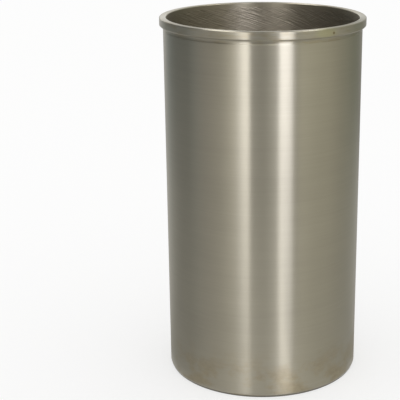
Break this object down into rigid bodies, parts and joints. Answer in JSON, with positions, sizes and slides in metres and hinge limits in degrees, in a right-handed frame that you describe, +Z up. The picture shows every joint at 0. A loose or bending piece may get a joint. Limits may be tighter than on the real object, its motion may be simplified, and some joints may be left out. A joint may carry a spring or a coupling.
{
  "type": "cylinder liner",
  "caption": "Thin-walled flanged dry cylinder liner, turned from one tube, with a honed bore, a relief under the flange and a tapered foot.",
  "frame": {"origin": "centre of the foot's flat face, on the bore's axis", "axes": "+Z up along the bore, from the foot to the flange; the liner is round, so X and Y are free"},
  "size_m": [0.0996, 0.0996, 0.179],
  "materials": {
    "liner": "fine turned and ground outside, cross-hatch honed inside, bare and lightly oiled"
  },
  "bodies": {
    "root": {"liner": "liner"}
  },
  "joints": []
}
